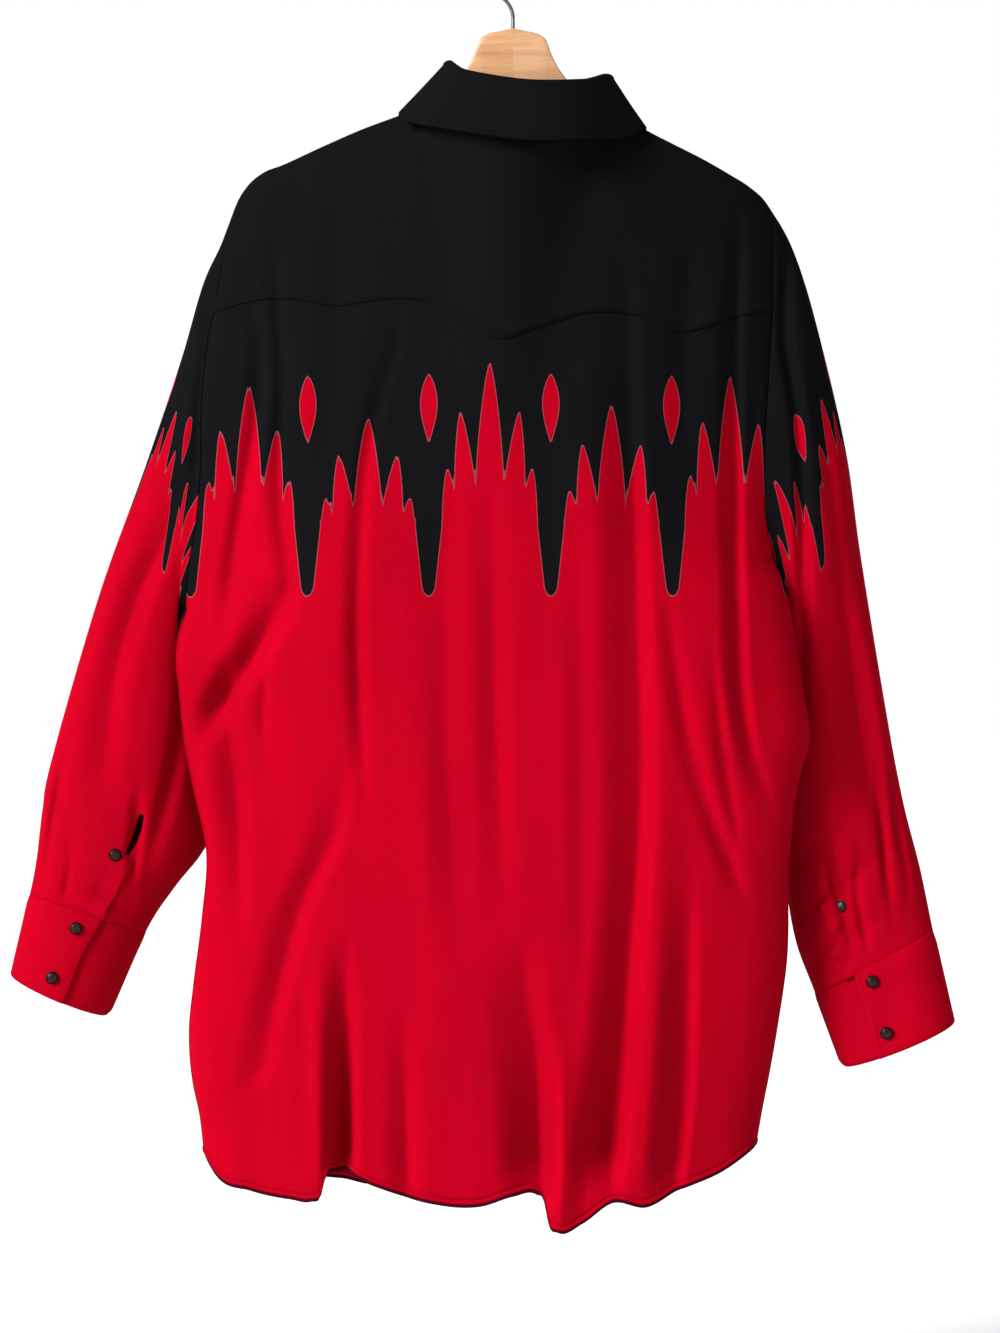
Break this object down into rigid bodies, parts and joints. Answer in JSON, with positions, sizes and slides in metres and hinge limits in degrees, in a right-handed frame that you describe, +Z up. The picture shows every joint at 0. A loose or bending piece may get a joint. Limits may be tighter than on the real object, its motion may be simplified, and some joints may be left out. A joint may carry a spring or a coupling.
{
  "type": "western shirt on a hanger",
  "caption": "Long-sleeved western shirt with a turned-down collar, pointed back yoke, snap front and snap cuffs, hanging on a contoured wooden coat hanger.",
  "frame": {"origin": "underside of the top of the hanger's hook, where it rests on a rail", "axes": "+Z up, +X to the wearer's left, +Y to the wearer's back; the front faces -Y"},
  "size_m": [0.8292, 0.1525, 1.1058],
  "materials": {
    "black_cotton": "black brushed cotton twill, matt",
    "red_cotton": "scarlet brushed cotton twill, matt",
    "snaps": "smoke-grey pearl cap in a dark metal rim",
    "hanger_wood": "pale beech, clear satin lacquer",
    "hook_wire": "bright plated steel wire"
  },
  "bodies": {
    "root": {"yoke": "black_cotton", "back_upper": "black_cotton", "back_lower": "red_cotton", "hem_back": "red_cotton", "front_left_upper": "black_cotton", "front_left_lower": "red_cotton", "front_right_upper": "black_cotton", "front_right_lower": "red_cotton", "hem_left": "red_cotton", "hem_right": "red_cotton", "sleeve_left_upper": "black_cotton", "sleeve_left_lower": "red_cotton", "sleeve_right_upper": "black_cotton", "sleeve_right_lower": "red_cotton", "cuff_left": "red_cotton", "cuff_right": "red_cotton", "sleeve_placket_left": "red_cotton", "sleeve_placket_right": "red_cotton", "front_placket": "black_cotton", "collar_stand": "black_cotton", "collar_leaf": "black_cotton", "snap_front_1": "snaps", "snap_front_2": "snaps", "snap_front_3": "snaps", "snap_front_4": "snaps", "snap_front_5": "snaps", "snap_front_6": "snaps", "snap_front_7": "snaps", "snap_left_placket": "snaps", "snap_left_cuff_upper": "snaps", "snap_left_cuff_lower": "snaps", "snap_right_placket": "snaps", "snap_right_cuff_upper": "snaps", "snap_right_cuff_lower": "snaps", "hanger_arm_left": "hanger_wood", "hanger_arm_right": "hanger_wood", "hanger_hook": "hook_wire"}
  },
  "joints": []
}
